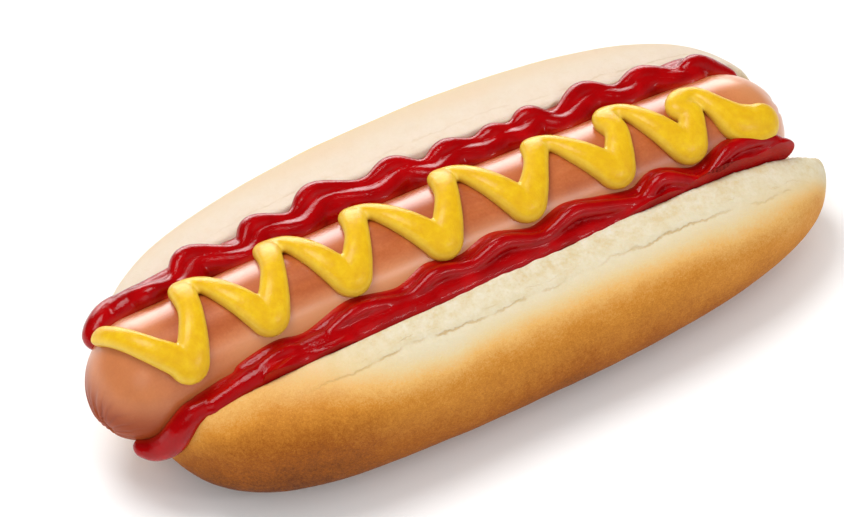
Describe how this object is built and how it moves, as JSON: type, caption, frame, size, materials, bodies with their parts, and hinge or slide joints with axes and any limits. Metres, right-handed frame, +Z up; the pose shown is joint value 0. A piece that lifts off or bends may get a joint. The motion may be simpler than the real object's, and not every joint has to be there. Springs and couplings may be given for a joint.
{
  "type": "hot dog",
  "caption": "Hot dog: a soft bun split from the top, holding a smoked sausage with ketchup along both sides and a zigzag of mustard.",
  "frame": {"origin": "middle of the flat patch under the bun, on the surface that the hot dog rests on", "axes": "+Z up; X along the sausage, with -X at the end where the sausage sticks out of the bun; -Y is the front half of the bun"},
  "size_m": [0.1642, 0.0721, 0.0423],
  "materials": {
    "bun": "soft baked crust, golden at the flanks and pale at the top",
    "sausage": "smooth satin skin",
    "ketchup": "wet gloss",
    "mustard": "satin gloss"
  },
  "bodies": {
    "root": {"bun": "bun", "sausage": "sausage", "ketchup_front": "ketchup", "ketchup_back": "ketchup", "mustard": "mustard"}
  },
  "joints": []
}
